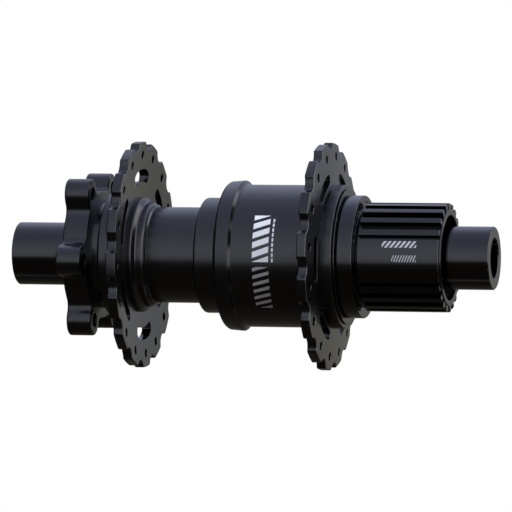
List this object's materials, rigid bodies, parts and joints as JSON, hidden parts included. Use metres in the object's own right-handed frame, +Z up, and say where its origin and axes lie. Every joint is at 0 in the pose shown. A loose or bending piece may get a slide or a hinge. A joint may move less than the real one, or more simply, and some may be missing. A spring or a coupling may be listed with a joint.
{
  "type": "bicycle rear hub",
  "caption": "Rear disc-brake hub with a splined freehub on a one-way clutch, two spoke flanges and a 12 mm thru-axle bore.",
  "frame": {"origin": "on the hub axis, midway between the two dropout faces", "axes": "+Y along the hub axis towards the brake rotor side, +X forward, +Z up"},
  "size_m": [0.0686, 0.148, 0.0686],
  "materials": {
    "shell_anodising": "satin black anodised",
    "freehub_anodising": "satin black anodised",
    "cap_anodising": "satin black anodised",
    "cover_anodising": "satin black anodised",
    "axle_aluminium": "machined",
    "bearing_steel": "ground",
    "cage_bronze": "machined",
    "seal_rubber": "matt"
  },
  "bodies": {
    "axle": {"axle": "axle_aluminium", "left_end_cap": "cap_anodising", "right_end_cap": "cap_anodising", "left_cap_o_ring": "seal_rubber", "right_cap_o_ring": "seal_rubber", "center_spacer": "axle_aluminium", "driver_spacer": "axle_aluminium", "left_bearing_inner_race": "bearing_steel", "center_bearing_inner_race": "bearing_steel", "inner_driver_bearing_inner_race": "bearing_steel", "outer_driver_bearing_inner_race": "bearing_steel"},
    "shell": {"hub_shell": "shell_anodising", "left_bearing_outer_race": "bearing_steel", "center_bearing_outer_race": "bearing_steel", "clutch_outer_race": "bearing_steel", "sprag_cage": "cage_bronze", "sprag_01": "bearing_steel", "sprag_02": "bearing_steel", "sprag_03": "bearing_steel", "sprag_04": "bearing_steel", "sprag_05": "bearing_steel", "sprag_06": "bearing_steel", "sprag_07": "bearing_steel", "sprag_08": "bearing_steel", "sprag_09": "bearing_steel", "sprag_10": "bearing_steel", "sprag_11": "bearing_steel", "sprag_12": "bearing_steel", "sprag_13": "bearing_steel", "sprag_14": "bearing_steel", "clutch_retaining_ring": "bearing_steel", "clutch_cover": "cover_anodising", "clutch_seal": "seal_rubber", "left_seal": "seal_rubber"},
    "freehub": {"freehub_body": "freehub_anodising", "driver_sleeve": "bearing_steel", "inner_driver_bearing_outer_race": "bearing_steel", "outer_driver_bearing_outer_race": "bearing_steel", "freehub_seal": "seal_rubber"},
    "left_balls": {"left_bearing_ball_cage": "cage_bronze"},
    "center_balls": {"center_bearing_ball_cage": "cage_bronze"},
    "inner_driver_balls": {"inner_driver_bearing_ball_cage": "cage_bronze"},
    "outer_driver_balls": {"outer_driver_bearing_ball_cage": "cage_bronze"}
  },
  "joints": [
    {"name": "shell_spin", "type": "hinge", "parent": "axle", "child": "shell", "pos_m": [0, 0, 0], "axis": [0, 1, 0], "continuous": true},
    {"name": "freehub_spin", "type": "hinge", "parent": "axle", "child": "freehub", "pos_m": [0, -0.045, 0], "axis": [0, 1, 0], "continuous": true},
    {"name": "left_balls_spin", "type": "hinge", "parent": "axle", "child": "left_balls", "pos_m": [0, 0.0495, 0], "axis": [0, 1, 0], "continuous": true},
    {"name": "center_balls_spin", "type": "hinge", "parent": "axle", "child": "center_balls", "pos_m": [0, 0.0105, 0], "axis": [0, 1, 0], "continuous": true},
    {"name": "inner_driver_balls_spin", "type": "hinge", "parent": "axle", "child": "inner_driver_balls", "pos_m": [0, 0.0013, 0], "axis": [0, 1, 0], "continuous": true},
    {"name": "outer_driver_balls_spin", "type": "hinge", "parent": "axle", "child": "outer_driver_balls", "pos_m": [0, -0.0518, 0], "axis": [0, 1, 0], "continuous": true}
  ],
  "couplings": [
    {"joint": "left_balls_spin", "follows": "shell_spin", "ratio": 0.5877},
    {"joint": "center_balls_spin", "follows": "shell_spin", "ratio": 0.5802},
    {"joint": "inner_driver_balls_spin", "follows": "freehub_spin", "ratio": 0.5669},
    {"joint": "outer_driver_balls_spin", "follows": "freehub_spin", "ratio": 0.5669}
  ]
}
